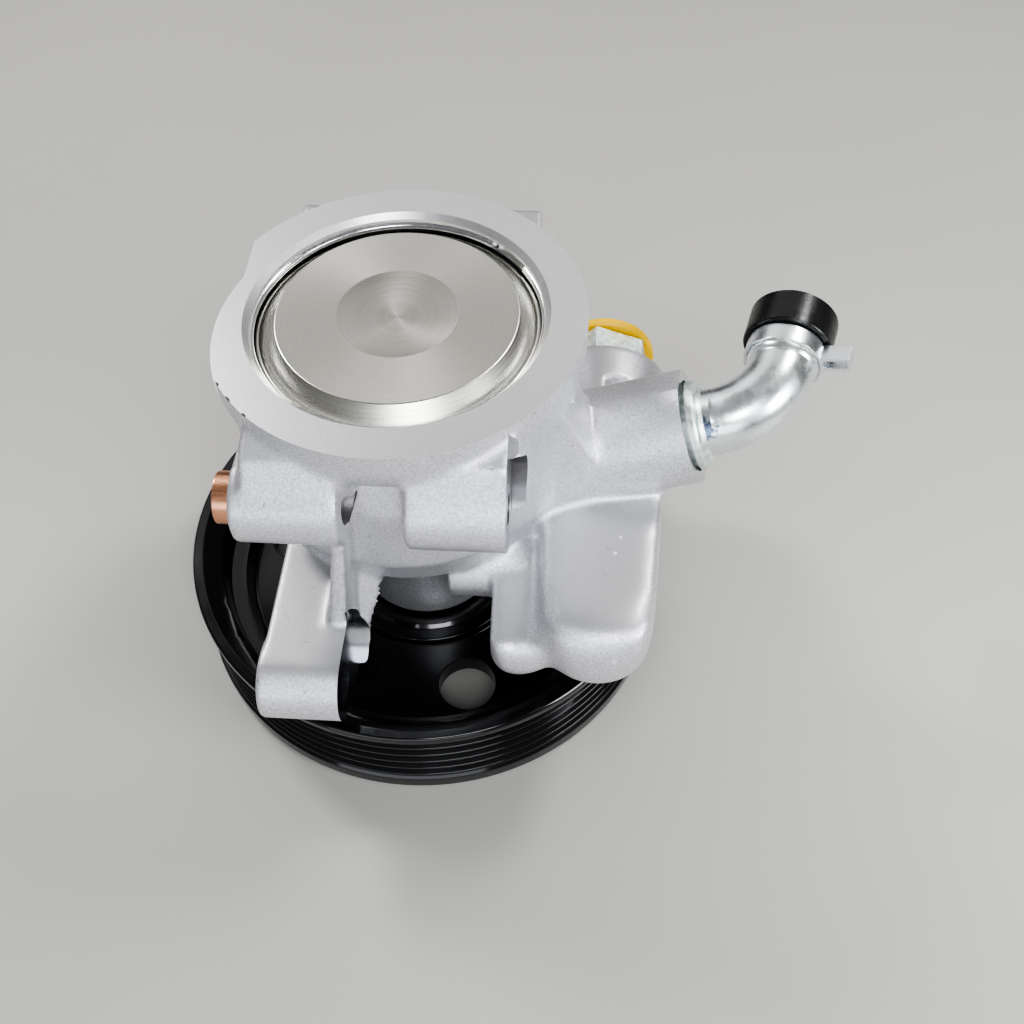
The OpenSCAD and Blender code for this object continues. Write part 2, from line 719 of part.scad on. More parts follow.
// Half section of the pulley, turned about the shaft axis
module pulley_outline() {
  polygon(concat(
    [[shaft_r + 0.01, 0.8], [hub_r - 3, 0.8], [hub_r - 2, web_z - web_t],
      [rim_in - rim_step - 4, web_z - web_t],
      [rim_in - rim_step - 1, 0.6], [rim_in - rim_step, 0], [pulley_r - 0.8, 0], [pulley_r, 0.8],
      [pulley_r, lip_low - 1], [crest_r, lip_low - 0.2]],
    [for (i = [0:rib_count - 1]) for (p = [[0, 0.25], [rib_depth, 1.36], [rib_depth, 2.2], [0, 3.31]])
      [crest_r - p[0], lip_low + (i + p[1] / 3.56) * rib_pitch]],
    [[crest_r, ribs_top + 0.2], [pulley_r, ribs_top + 0.8], [pulley_r, pulley_w - 0.5],
      [pulley_r - 0.5, pulley_w], [pulley_r - 2.6, pulley_w], [rim_in + 0.4, pulley_w - 3.4],
      [rim_in, pulley_w - 4.2], [rim_in - 0.8, web_z + 6.4], [rim_in - rim_step, web_z + 5.2],
      [rim_in - rim_step - 1.2, web_z + 0.8], [rim_in - rim_step - 2, web_z], [hub_r + 5, web_z],
      [hub_r + 4, web_z + 1.4], [hub_r + 1, hub_top - 0.8], [hub_r, hub_top], [shaft_r + 0.01, hub_top]]));
}

module pulley() {
  color([0.03, 0.03, 0.035])
  difference() {
    rotate_extrude() pulley_outline();
    for (i = [0:web_holes - 1])
      rotate([0, 0, web_hole_turn + i * 360 / web_holes])
        translate([web_hole_pcr, 0, -1]) cylinder(d = web_hole_d, h = web_z + 3);
  }
}

module flow_spool() {
  color([0.55, 0.55, 0.57])
  at_valve(spool_y)
    difference() {
      rotate_extrude()
        polygon([[0, 0], [spool_bore_r - run_fit - 0.5, 0], [spool_bore_r - run_fit, 0.5],
          [spool_bore_r - run_fit, spool_land], [spool_bore_r - 2, spool_land],
          [spool_bore_r - 2, spool_land + spool_groove], [spool_bore_r - run_fit, spool_land + spool_groove],
          [spool_bore_r - run_fit, spool_len - 3],
          [4, spool_len - 3], [4, spool_len], [0, spool_len]]);
      translate([0, 0, -1]) cylinder(r = 4.6, h = 6);
    }
}

// Coil spring drawn as stacked rings joined by one slim bar
module flow_spring() {
  color([0.50, 0.50, 0.52])
  at_valve(bore_front + seat_gap)
    for (i = [0:5])
      translate([0, 0, flow_wire + i * (spring_space - 2 * flow_wire) / 5]) {
        torus(flow_spring_r, flow_wire);
        if (i < 5)
          rotate([0, 0, i * 60])
            translate([flow_spring_r, 0, 0])
              cylinder(r = flow_wire - 0.2, h = (spring_space - 2 * flow_wire) / 5);
      }
}

module outlet_union() {
  color([0.74, 0.80, 0.76])
  difference() {
    union() {
      at_valve(union_seat + seat_gap) cylinder(r = thread_r - slip_gap, h = union_len);
      at_valve(hex_y)
        rotate([0, 0, 20]) cylinder(r = hex_af / 2 / cos(30), h = hex_len, $fn = 6);
    }
    at_valve(union_seat - 1) cylinder(r = union_bore_r, h = union_len + hex_len + 3);
    at_valve(plug_y - shank_len - 1.5) cylinder(r = shank_r + seat_gap, h = shank_len + 3);
    at_valve(union_seat + 9) tube(thread_r - 1.5, thread_r + 1, 2.4);
  }
}

module union_o_ring() {
  color([0.08, 0.08, 0.08])
  at_valve(union_seat + 10.2) torus(thread_r - 0.75, 0.7);
}

module outlet_cap() {
  color([0.95, 0.62, 0.05])
  at_valve(0)
    rotate_extrude()
      polygon([[0, plug_y - shank_len], [shank_r - 0.7, plug_y - shank_len], [shank_r, plug_y],
        [plug_r - 0.5, plug_y], [plug_r, plug_y + 0.5], [plug_r, plug_y + plug_t - 0.6],
        [plug_r - 0.6, plug_y + plug_t],
        [shank_r - 0.7, plug_y + plug_t], [shank_r - 1.3, plug_y + plug_t - 1], [0, plug_y + plug_t - 1]]);
}

// Start of the pipe with the grooved collar, turned about the boss axis
module pipe_start() {
  rotate_extrude()
    polygon([[pipe_r - pipe_wall, -13], [pipe_r, -13], [pipe_r, -9], [pipe_collar_r, -9],
      [pipe_collar_r, -6.6], [pipe_collar_r - 1.6, -6.6], [pipe_collar_r - 1.6, -4.2],
      [pipe_collar_r, -4.2], [pipe_collar_r, -1.4], [pipe_collar_r - 0.5, -0.9], [pipe_r + 0.9, -0.5],
      [pipe_r, 0.9], [pipe_r, pipe_lead], [pipe_r - pipe_wall, pipe_lead]]);
}

// Widened end of the pipe, turned about the axis after the bend
module pipe_tail_end() {
  rotate_extrude()
    polygon([[pipe_r - pipe_wall, 0], [pipe_r, 0], [pipe_end_r, 1.5], [pipe_end_r, pipe_tail + tail_in],
      [pipe_end_r - pipe_wall, pipe_tail + tail_in], [pipe_end_r - pipe_wall, 1.5]]);
}

module inlet_pipe() {
  color([0.76, 0.79, 0.80])
  union() {
    at_boss() pipe_start();
    at_boss()
      translate([0, pipe_bend_r, pipe_lead])
        rotate([90, 0, -90])
          rotate([0, 0, -1])
            rotate_extrude(angle = pipe_bend + 2)
              translate([pipe_bend_r, 0])
                difference() {
                  circle(r = pipe_r - 0.03);
                  circle(r = pipe_r - pipe_wall + 0.03);
                }
    at_tail() pipe_tail_end();
  }
}

module inlet_o_ring() {
  color([0.08, 0.08, 0.08])
  at_boss() translate([0, 0, -5.4]) torus(pipe_collar_r - 0.7, 0.85);
}

module inlet_cap() {
  color([0.05, 0.05, 0.05])
  at_tail()
    translate([0, 0, pipe_tail])
      rotate_extrude()
        polygon([[pipe_end_r + slip_gap, 0], [cap_r - 0.3, 0], [cap_r, 0.4], [cap_r, cap_len - 1.4],
          [cap_r - 1.4, cap_len], [0, cap_len], [0, cap_in], [pipe_end_r + slip_gap, cap_in]]);
}

module hose_clip() {
  color([0.80, 0.82, 0.82])
  at_tail()
    translate([0, 0, pipe_tail - clip_w - 0.4])
      rotate([0, 0, -88]) {
        tube(pipe_end_r + slip_gap, pipe_end_r + 0.7, clip_w);
        difference() {
          translate([pipe_end_r + 0.3, -1.8, 0]) cube([clip_ear, 3.6, clip_w]);
          translate([pipe_end_r + 0.9, -1.1, -1]) cube([clip_ear - 1.4, 2.2, clip_w + 2]);
        }
      }
}

module ear_bush() {
  color([0.72, 0.42, 0.27])
  at_ear(left_ear_x - bush_out)
    difference() {
      cylinder(r = bush_r, h = ear_bush_len);
      translate([0, 0, -1]) cylinder(r = bolt_r, h = ear_bush_len + 2);
    }
}

pump_housing();
rear_cover();
retaining_ring();
cover_o_ring();
cover_spring();
pressure_plate();
plate_o_ring();
cam_ring();
front_plate();
rotor();
vanes();
dowel_pins();
rotor_clip();
drive_shaft();
rear_bush();
front_bush();
shaft_seal();
pulley();
flow_spool();
flow_spring();
outlet_union();
union_o_ring();
outlet_cap();
inlet_pipe();
inlet_o_ring();
inlet_cap();
hose_clip();
ear_bush();
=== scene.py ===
"""Looks of a power steering pump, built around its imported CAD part.

The casting is made as the real one is: the bores of the CAD housing are filled, the blank is softened like
a sand-blasted casting, and the faces and bores of the CAD part are machined into it again. The rear cover is
turned again with finer steps, and the inlet pipe gets the flange that stands proud of its boss. All other
nodes keep their CAD shape and get a procedural finish; those in sight get rounded edges too.

Sizes are in millimetres and turns in degrees, in the frame of the CAD part.
"""

import math

import bmesh
import bpy
import numpy as np
from mathutils import Matrix, Vector


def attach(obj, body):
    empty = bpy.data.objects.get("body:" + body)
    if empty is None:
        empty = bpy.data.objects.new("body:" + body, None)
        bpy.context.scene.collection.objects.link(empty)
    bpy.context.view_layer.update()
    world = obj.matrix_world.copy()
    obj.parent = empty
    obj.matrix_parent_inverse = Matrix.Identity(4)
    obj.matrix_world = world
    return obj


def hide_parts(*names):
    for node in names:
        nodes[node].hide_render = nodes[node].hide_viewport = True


MM = 0.001

# Collar, main bore and groove of the snap ring.
TOP_Z = 102.6
COLLAR_R = 40.0
FLAT_X = 34.3
FLAT_H = 5.8
BORE_R = 31.0
BORE_CHAMFER = 1.2
FLOOR_Z = 57.0
GROOVE_Z = (98.5, 100.5)
GROOVE_R = 32.3

# Nose with the seats of the shaft seal and the front bush.
NOSE_Z = 13.0
SHAFT_HOLE_R = 8.5
SEAL_R = 13.0
SEAL_H = 6.5
LAND_H = 3.0
BUSH_SEAT_R = 10.0

# Ears: axis, ends, web, spot face and bores.
EAR_Y = -36.0
EAR_Z = 83.5
EAR_R = 9.0
EAR_LEFT = -30.0
EAR_GAP_X = -7.8
EAR_RIGHT = 5.0
EAR_FACE = 25.4
EAR_WEB = 17.1
EAR_WEB_LEN = 20.0
EAR_SPOT_R = 11.0
EAR_BUSH_R = 5.55
EAR_BUSH_X = (-34.0, -13.7)
EAR_BOLT_R = 4.65
TAP_R = 3.4
TAP_LEN = 16.0
# Where the bolt hole breaks out of the left ear, and how far that end leans.
BREAK_X = -6.0
BREAK_LEAN = 17.0
# Extent of the milled face of the right ear, and of the hollow between the ears.
EAR_FACE_Y = (-56.0, -31.0)
EAR_FACE_Z = (72.5, 113.5)
HOLLOW_X = (-5.2, 4.7)

# Lower lug with its spot face, bolt hole and gusset.
LUG_Y = -55.5
LUG_Z = 43.3
LUG_R = 8.6
LUG_LEFT = -28.5
LUG_FACE = -10.4
LUG_SPOT_R = 16.2
LUG_SPOT_LEN = 30.0
LUG_BOLT_R = 4.35
LUG_BOLT_X = (-33.5, -5.4)
GUSSET_X = (-12.4, -1.4)
GUSSET_CORNER = (-10.2, -39.3, 43.3)
GUSSET_TURN = -54.5
GUSSET_LEAN = -18.5

# Valve housing with its back face, spool bore and thread.
VALVE_X = 44.6
VALVE_Z = 48.0
VALVE_BACK = 30.0
VALVE_STOCK_R = 16.7
VALVE_FACE_R = 20.0
SPOOL_R = 8.0
SPOOL_FRONT = -39.0
THREAD_R = 9.6
THREAD_LEN = 14.0

# Inlet boss with its bore.
BOSS_X = 64.5
BOSS_Z = 70.0
BOSS_TILT = 20.0
BOSS_R = 13.1
BOSS_DEEP = 32.0
BOSS_FACE_R = 30.0
BOSS_BORE_R = 10.5
BOSS_BORE = 14.0
INLET_R = 5.5
INLET_END = -19.0
# Ground flat of the boss: depth, length, extent across and turn about the boss.
BOSS_FLAT = 0.9
BOSS_FLAT_LEN = 24.0
BOSS_FLAT_SIDE = (-5.2, 12.0)
BOSS_FLAT_TURN = -20.0
# The web beside the boss is cut down to the boss in this extent of the boss's frame, and by a round saddle.
WEB_CUT_X = (-30.0, 2.0)
WEB_CUT_Z = (-20.5, -6.0)
SADDLE_R = 6.5
SADDLE_X = 44.6
SADDLE_Y = (-24.0, 14.0)
SADDLE_Z = 83.4

# Passages between the bores.
FEED_X = 47.6
FEED_Z = (48.0, 64.0)
FEED_R = 4.0
DUCT_PLACE = (20.0, 7.0, 66.0)
DUCT_TILT = 118.0
DUCT_R = 3.0
DUCT_LEN = 27.0

# Flange of the inlet pipe: foot in the boss, slot over the boss face, and height above that face.
PIPE_R = 7.7
FLANGE_R = 10.3
FLANGE_FOOT = -1.4
FLANGE_GAP = 0.5
FLANGE_SLOT = 0.9
FLANGE_OUT = 2.9

# Rear cover: underside, groove of its O-ring, rim, plateau and dish.
COVER_Z = 91.4
COVER_R = 30.95
COVER_FOOT_R = 20.0
COVER_HOLLOW_R = 19.0
COVER_HOLLOW = 3.0
COVER_GROOVE = (2.2, 4.8)
COVER_GROOVE_DEEP = 1.95
COVER_RIM_Z = 98.5
PLATEAU_Z = 102.1
PLATEAU_R = 25.6
DISH_R = 13.0
DISH_DEEP = 1.2
DISH_STEPS = 16

# Handling marks on the rim of the collar: turn and length.
NICKS = [(-146, 2.2), (-139, 3.4), (-131, 2.6), (131.5, 1.8), (124.5, 2.4), (115.5, 1.6), (62, 1.4)]
NICK_R = 0.8
NICK_PLACE = (40.3, 0.0, 102.85)
# Chip marks on the casting, painted near white as their glint, and the burnt weld spot on the pipe: place and
# reach.
CASTING_CHIP_GLINTS = [((48.0, -28.2, 58.5), 0.6), ((49.2, -23.8, 58.5), 0.5),
                 ((48.6, -52.8, 52.0), 1.4), ((25.6, -48.4, 49.9), 1.8)]
PIPE_BURNS = [((67.2, -6.3, 75.6), 2.6), ((66.0, -5.0, 76.8), 1.6)]

# The casting: stock on machined faces, overlap of the plugs in the bores, overrun and reach of the cutters.
STOCK = 3.0
PLUG = 0.4
OVER = 1.0
CLEAR = 20.0
PART_X = (-80.0, 120.0)
PART_Y = (-80.0, 80.0)
# Size of the remesh and share of the faces kept after it.
VOXEL = 0.55
SLIM = 0.4
# Angles from which an edge stays sharp.
CAST_SHARP = 38.0
FLANGE_SHARP = 30.0
COVER_SHARP = 6.0
# Steps of the softening of all edges and of the fillets, and share of the way that a point goes in a step.
SOFT_STEPS = 6
FILLET_STEPS = 16
SOFT_RATE = 0.5
OUTER_RATE = 0.03
# Rounder stretches of the casting: lowest and highest corner, width of the soft border, steps.
ZONES = [((36, -24, 58), (50, 14, 92), 3, 24),
         ((20, -60, 44), (70, -9, 64), 4, 60),
         ((24, -62, 28), (72, -37, 64), 6, 90)]

# Outlines of the casting blank as in the CAD part: the body as (radius, height), all others as (y, z).
BODY_OUTLINE = [(0, NOSE_Z), (17.5, NOSE_Z), (18.5, NOSE_Z + 1), (19, 51), (31.5, 50.5), (33, 51.7),
                (35.2, 58.5), (36.6, 61), (37.2, 62), (37.7, 85.6), (39.4, 93.6), (COLLAR_R, 96.6),
                (COLLAR_R, TOP_Z + STOCK), (0, TOP_Z + STOCK)]
BRIDGE_SIDE = [(-38.9, 93.5), (-37.5, 97.1), (-29, TOP_Z - 2), (-15, TOP_Z - 2), (-15, 85.5), (-35, 90.5)]
BRIDGE_X = (EAR_RIGHT + 1, EAR_FACE + 0.4)
SLOPE_SIDE = [(-41.58, 90.34), (-37.5, 97.1), (-29, TOP_Z - 2.2), (-15, TOP_Z - 2.2), (-15, EAR_Z)]
SLOPE_X = (EAR_RIGHT + 0.4, EAR_FACE + 0.4)
HOLLOW_SIDE = [(-50, 92.8), (-34.2, 92.8), (-37.9, 79.5), (-50, 79.5)]
ARM_SIDE = [(-55.5, 51.9), (-55.5, 34.7), (-43.5, 31.3), (-33, 48.5), (-18, 48.5), (-18, 51.9)]
GUSSET_SIDE = [(-46.5, 33.7), (-46.5, 61), (-30, 61), (-30, 52.5), (-33, 48.5), (-43.5, 31.3)]

# Width of the rounded edges of the pieces in sight.
EDGE_WIDTHS = {"pulley": 0.2, "outlet_union": 0.3, "hose_clip": 0.15, "inlet_cap": 0.4, "outlet_cap": 0.3,
               "ear_bush": 0.3, "inlet_pipe": 0.15}
COVER_EDGE = 0.15
EDGE_SEGMENTS = 2
EDGE_ANGLE = 25.0

# Camera of the photograph: place, image axes, and focal length in pixels of a picture of that width.
CAM_PLACE = (39.465, -174.904, 268.640)
CAM_RIGHT = (0.99749, 0.06769, -0.02117)
CAM_DOWN = (0.04150, -0.79924, -0.59958)
CAM_FORWARD = (-0.05750, 0.59719, -0.80003)
CAM_FOCAL = 1150.0
IMAGE = 1024.0
SENSOR = 36.0

# Room light from the front and from above.
SKY_FRONT = 0.14
SKY_TOP = 0.16
# Lights: name, place, aim, size, power in watts and colour.
LIGHTS = [
    ("key", (-420, 330, 560), (0, 0, 60), (140, 140), 2.0, (1, 1, 1)),
    ("second", (360, 260, 600), (10, 0, 60), (140, 140), 1.7, (1, 1, 1)),
    ("back", (0, 640, 620), (0, 0, 80), (1100, 500), 0.95, (1, 1, 1)),
    ("crown", (130, -480, 600), (20, -10, 70), (300, 220), 1.7, (0.96, 0.98, 1.0)),
    ("side", (520, -260, 330), (20, -10, 60), (260, 260), 2.1, (0.95, 0.97, 1.0)),
    ("front", (-60, -660, 220), (10, 0, 50), (700, 320), 1.3, (0.90, 0.93, 1.0)),
]
FLOOR_HALF = 2000.0
FLOOR_THICK = 20.0


# Frames and solids.

def turn(degrees, axis):
    return Matrix.Rotation(math.radians(degrees), 4, axis)


def frame_x(x, y, z):
    """Frame at a point with its own Z along X."""
    return Matrix.Translation((x, y, z)) @ turn(90, "Y")


def frame_y(x, y, z):
    """Frame at a point with its own Z along Y."""
    return Matrix.Translation((x, y, z)) @ turn(-90, "X")


def frame_boss():
    """Frame at the inlet boss face with its own Z out of the face."""
    return Matrix.Translation((BOSS_X, 0, BOSS_Z)) @ turn(90 - BOSS_TILT, "Y")


def solid(verts, faces, place=Matrix.Identity(4)):
    """A closed mesh in metres from points in millimetres."""
    bm = bmesh.new()
    points = [bm.verts.new(place @ Vector(v) * MM) for v in verts]
    for face in faces:
        bm.faces.new([points[i] for i in face])
    bmesh.ops.recalc_face_normals(bm, faces=bm.faces)
    mesh = bpy.data.meshes.new("solid")
    bm.to_mesh(mesh)
    bm.free()
    return mesh


def turned(outline, place=Matrix.Identity(4), steps=120):
    """A closed solid of revolution; the outline starts and ends on the axis."""
    verts, faces = [], []
    ring = outline[1:-1]
    for k in range(steps):
        a = 2 * math.pi * k / steps
        verts += [(r * math.cos(a), r * math.sin(a), z) for r, z in ring]
    n = len(ring)
    low, high = len(verts), len(verts) + 1
    verts += [(0, 0, outline[0][1]), (0, 0, outline[-1][1])]
    for k in range(steps):
        here, there = k * n, (k + 1) % steps * n
        faces += [(here + i, there + i, there + i + 1, here + i + 1) for i in range(n - 1)]
        faces += [(low, there, here), (high, here + n - 1, there + n - 1)]
    return solid(verts, faces, place)


def rod(r, z1, z2, place=Matrix.Identity(4), steps=72):
    """A cylinder along the frame's Z."""
    return turned([(0, z1), (r, z1), (r, z2), (0, z2)], place, steps)


def spindle(r, length, place):
    """A slim pointed body along the frame's Z, centred on it."""
    half = length / 2
    outline = [(0, -half), (0.75 * r, -0.5 * half), (r, 0), (0.75 * r, 0.5 * half), (0, half)]
    return turned(outline, place, 12)


def block(low, high, place=Matrix.Identity(4)):
    """A box between two corners."""
    (x1, y1, z1), (x2, y2, z2) = low, high
    verts = [(x, y, z) for x in (x1, x2) for y in (y1, y2) for z in (z1, z2)]
    faces = [(0, 1, 3, 2), (4, 6, 7, 5), (0, 4, 5, 1), (2, 3, 7, 6), (0, 2, 6, 4), (1, 5, 7, 3)]
    return solid(verts, faces, place)


def side_prism(outline, x1, x2):
    """A prism of an outline in Y and Z."""
    n = len(outline)
    verts = [(x, y, z) for x in (x1, x2) for y, z in outline]
    faces = [tuple(range(n)), tuple(range(n, 2 * n))]
    faces += [(i, (i + 1) % n, n + (i + 1) % n, n + i) for i in range(n)]
    return solid(verts, faces)


def welded(mesh):
    """A copy of the mesh whose faces share their points."""
    bm = bmesh.new()
    bm.from_mesh(mesh)
    bmesh.ops.remove_doubles(bm, verts=bm.verts, dist=1e-7)
    out = bpy.data.meshes.new("welded")
    bm.to_mesh(out)
    bm.free()
    return out


def add_object(name, data):
    obj = bpy.data.objects.new(name, data)
    bpy.context.scene.collection.objects.link(obj)
    return obj


def baked(obj):
    """The object's mesh with its modifiers applied."""
    graph = bpy.context.evaluated_depsgraph_get()
    return bpy.data.meshes.new_from_object(obj.evaluated_get(graph), depsgraph=graph)


def combined(mesh, others, operation):
    """The mesh joined with, cut by or limited to other closed meshes, one after the other."""
    obj = add_object("work", mesh)
    tools = [add_object("tool", other) for other in others]
    for tool in tools:
        step = obj.modifiers.new("step", "BOOLEAN")
        step.operation, step.solver, step.object = operation, "MANIFOLD", tool
        step.material_mode = "TRANSFER"
    result = baked(obj)
    for item in [obj] + tools:
        bpy.data.objects.remove(item)
    return result


# Casting.

def blank_solids():
    """What fills the bores of the CAD housing and adds stock where it is machined."""
    ear, lug = frame_x(0, EAR_Y, EAR_Z), frame_x(0, LUG_Y, LUG_Z)
    valve, boss = frame_y(VALVE_X, 0, VALVE_Z), frame_boss()
    behind = Matrix.Translation(GUSSET_CORNER) @ turn(GUSSET_TURN, "Z") @ turn(GUSSET_LEAN, "Y")
    far = 2 * CLEAR
    gusset = combined(side_prism(GUSSET_SIDE, *GUSSET_X),
                      [block((0, -far, -far), (far, far, far), behind)], "DIFFERENCE")
    arm = combined(side_prism(ARM_SIDE, LUG_FACE - 2 * OVER, LUG_FACE + STOCK),
                   [rod(LUG_SPOT_R - 0.2, LUG_FACE - 3 * OVER, LUG_FACE + STOCK + OVER, lug)], "INTERSECT")
    return [
        turned(BODY_OUTLINE),
        rod(EAR_R, EAR_LEFT, EAR_GAP_X, ear),
        rod(EAR_R, EAR_RIGHT, EAR_FACE + STOCK, ear),
        block((EAR_RIGHT, EAR_Y, EAR_Z - EAR_WEB / 2),
              (EAR_FACE + STOCK, EAR_Y + EAR_WEB_LEN, EAR_Z + EAR_WEB / 2)),
        side_prism(BRIDGE_SIDE, *BRIDGE_X),
        side_prism(SLOPE_SIDE, *SLOPE_X),
        rod(LUG_R, LUG_LEFT, LUG_FACE + STOCK, lug),
        arm,
        gusset,
        rod(SPOOL_R + PLUG, SPOOL_FRONT - PLUG, VALVE_BACK + STOCK, valve),
        rod(THREAD_R + PLUG, VALVE_BACK - THREAD_LEN - PLUG, VALVE_BACK + STOCK, valve),
        rod(VALVE_STOCK_R, VALVE_BACK - 2 * OVER, VALVE_BACK + STOCK, valve),
        rod(BOSS_R, -BOSS_DEEP, STOCK, boss),
        rod(INLET_R + PLUG, INLET_END - PLUG, 0, boss),
        rod(FEED_R + PLUG, FEED_Z[0], FEED_Z[1] + PLUG, Matrix.Translation((FEED_X, 0, 0))),
        rod(DUCT_R + PLUG, -PLUG, DUCT_LEN + PLUG, Matrix.Translation(DUCT_PLACE) @ turn(DUCT_TILT, "Y")),
    ]


def hollow_solids():
    """What the blank has less than the CAD housing: web beside the boss, hollow between the ears."""
    boss = frame_boss()
    beside = combined(block((WEB_CUT_X[0], -CLEAR, WEB_CUT_Z[0]), (WEB_CUT_X[1], CLEAR, WEB_CUT_Z[1]), boss),
                      [rod(BOSS_R, -2 * CLEAR, 5 * OVER, boss, 120), turned(BODY_OUTLINE)], "DIFFERENCE")
    return [
        beside,
        side_prism(HOLLOW_SIDE, *HOLLOW_X),
        rod(SADDLE_R, *SADDLE_Y, frame_y(SADDLE_X, 0, SADDLE_Z)),
    ]


def turned_cuts():
    """What is turned and faced: the top, the flat of the collar, the main bore and the shaft bore."""
    bore = [(0, FLOOR_Z), (BORE_R, FLOOR_Z), (BORE_R, GROOVE_Z[0]), (GROOVE_R, GROOVE_Z[0]),
            (GROOVE_R, GROOVE_Z[1]), (BORE_R, GROOVE_Z[1]), (BORE_R, TOP_Z - BORE_CHAMFER),
            (BORE_R + BORE_CHAMFER + OVER, TOP_Z + OVER), (0, TOP_Z + OVER)]
    seal_z, bush_z = NOSE_Z + SEAL_H, NOSE_Z + SEAL_H + LAND_H
    shaft = [(0, NOSE_Z - OVER), (SEAL_R, NOSE_Z - OVER), (SEAL_R, seal_z), (SHAFT_HOLE_R, seal_z),
             (SHAFT_HOLE_R, bush_z), (BUSH_SEAT_R, bush_z), (BUSH_SEAT_R, FLOOR_Z + OVER),
             (0, FLOOR_Z + OVER)]
    return [
        block((PART_X[0], PART_Y[0], TOP_Z), (PART_X[1], PART_Y[1], TOP_Z + CLEAR)),
        block((PART_X[0], PART_Y[0], TOP_Z - FLAT_H), (-FLAT_X, PART_Y[1], TOP_Z + CLEAR)),
        turned(bore, steps=180),
        turned(shaft),
    ]


def milled_cuts():
    """What is milled and drilled: faces and bores of ears, lug, valve and boss, and the marks on the rim."""
    ear, lug = frame_x(0, EAR_Y, EAR_Z), frame_x(0, LUG_Y, LUG_Z)
    valve, boss = frame_y(VALVE_X, 0, VALVE_Z), frame_boss()
    rim = Matrix.Translation(NICK_PLACE) @ turn(90, "X")
    return [
        block((EAR_FACE, EAR_FACE_Y[0], EAR_FACE_Z[0]), (EAR_FACE + CLEAR, EAR_FACE_Y[1], EAR_FACE_Z[1])),
        rod(LUG_SPOT_R, LUG_FACE, LUG_FACE + LUG_SPOT_LEN, lug, 120),
        rod(VALVE_FACE_R, VALVE_BACK, VALVE_BACK + STOCK + OVER, valve),
        rod(BOSS_FACE_R, 0, CLEAR, boss),
        rod(EAR_BUSH_R, *EAR_BUSH_X, ear),
        rod(LUG_BOLT_R, *LUG_BOLT_X, lug),
        rod(SPOOL_R, SPOOL_FRONT, VALVE_BACK + OVER, valve),
        rod(THREAD_R, VALVE_BACK - THREAD_LEN, VALVE_BACK + OVER, valve),
        rod(BOSS_BORE_R, -BOSS_BORE, OVER, boss),
        rod(INLET_R, INLET_END, 0, boss),
        rod(FEED_R, *FEED_Z, Matrix.Translation((FEED_X, 0, 0))),
        rod(DUCT_R, 0, DUCT_LEN, Matrix.Translation(DUCT_PLACE) @ turn(DUCT_TILT, "Y")),
    ] + [spindle(NICK_R, length, turn(at, "Z") @ rim) for at, length in NICKS]


def shaded_cuts():
    """Cuts given a darker copy of the milled finish as painted shade: spot face and thread of the right ear,
    bolt hole of the left, boss flat.
    """
    ear = frame_x(0, EAR_Y, EAR_Z)
    beyond = Matrix.Translation((BREAK_X, EAR_Y, EAR_Z)) @ turn(BREAK_LEAN, "Y")
    bolt_hole = combined(rod(EAR_BOLT_R, EAR_LEFT, EAR_GAP_X + 3 * OVER, ear),
                         [block((0, -CLEAR, -CLEAR), (CLEAR, CLEAR, CLEAR), beyond)], "DIFFERENCE")
    flat_x = BOSS_FLAT - BOSS_R
    above = block((flat_x - CLEAR, BOSS_FLAT_SIDE[0], -BOSS_FLAT_LEN), (flat_x, BOSS_FLAT_SIDE[1], OVER),
                  frame_boss() @ turn(BOSS_FLAT_TURN, "Z"))
    body = rod(COLLAR_R + OVER, 0, TOP_Z + CLEAR / 2, steps=120)
    return [
        rod(EAR_SPOT_R, EAR_FACE, EAR_FACE + CLEAR, ear),
        rod(TAP_R, EAR_FACE - TAP_LEN, EAR_FACE + OVER, ear),
        bolt_hole,
        combined(above, [body], "DIFFERENCE"),
    ]


def soften(mesh):
    """Smooths a remeshed casting: edges a little, rounder zones more, then inner corners to fillets."""
    count = len(mesh.vertices)
    co = np.empty(count * 3)
    mesh.vertices.foreach_get("co", co)
    co = co.reshape(-1, 3)
    edges = np.empty(len(mesh.edges) * 2, np.int64)
    mesh.edges.foreach_get("vertices", edges)
    edges = edges.reshape(-1, 2)
    normal = np.empty(count * 3)

    def pull(a, b):
        """The way from each point to the mean of its neighbours along these edges."""
        degree = np.maximum(np.bincount(np.r_[a, b], minlength=count), 1)[:, None]
        total = [np.bincount(a, co[b, k], count) + np.bincount(b, co[a, k], count) for k in range(3)]
        return np.stack(total, 1) / degree - co

    for _ in range(SOFT_STEPS):
        co += SOFT_RATE * pull(*edges.T)
    for low, high, border, steps in ZONES:
        inside = np.minimum(co - np.array(low) * MM, np.array(high) * MM - co).min(1)
        share = np.clip(inside / (border * MM), 0, 1)
        part = edges[share[edges].max(1) > 0].T
        for _ in range(steps):
            co += SOFT_RATE * share[:, None] * pull(*part)
    for _ in range(FILLET_STEPS):
        mesh.vertices.foreach_set("co", co.ravel())
        mesh.update()
        mesh.vertex_normals.foreach_get("vector", normal)
        move = pull(*edges.T)
        inner = np.einsum("ij,ij->i", move, normal.reshape(-1, 3)) > 0
        co += move * np.where(inner, SOFT_RATE, OUTER_RATE)[:, None]
    mesh.vertices.foreach_set("co", co.ravel())
    mesh.update()


def smooth_faces(obj, angle):
    """Shades a piece smooth, apart from edges sharper than the angle."""
    obj.data.shade_smooth()
    obj.data.set_sharp_from_angle(angle=math.radians(angle))


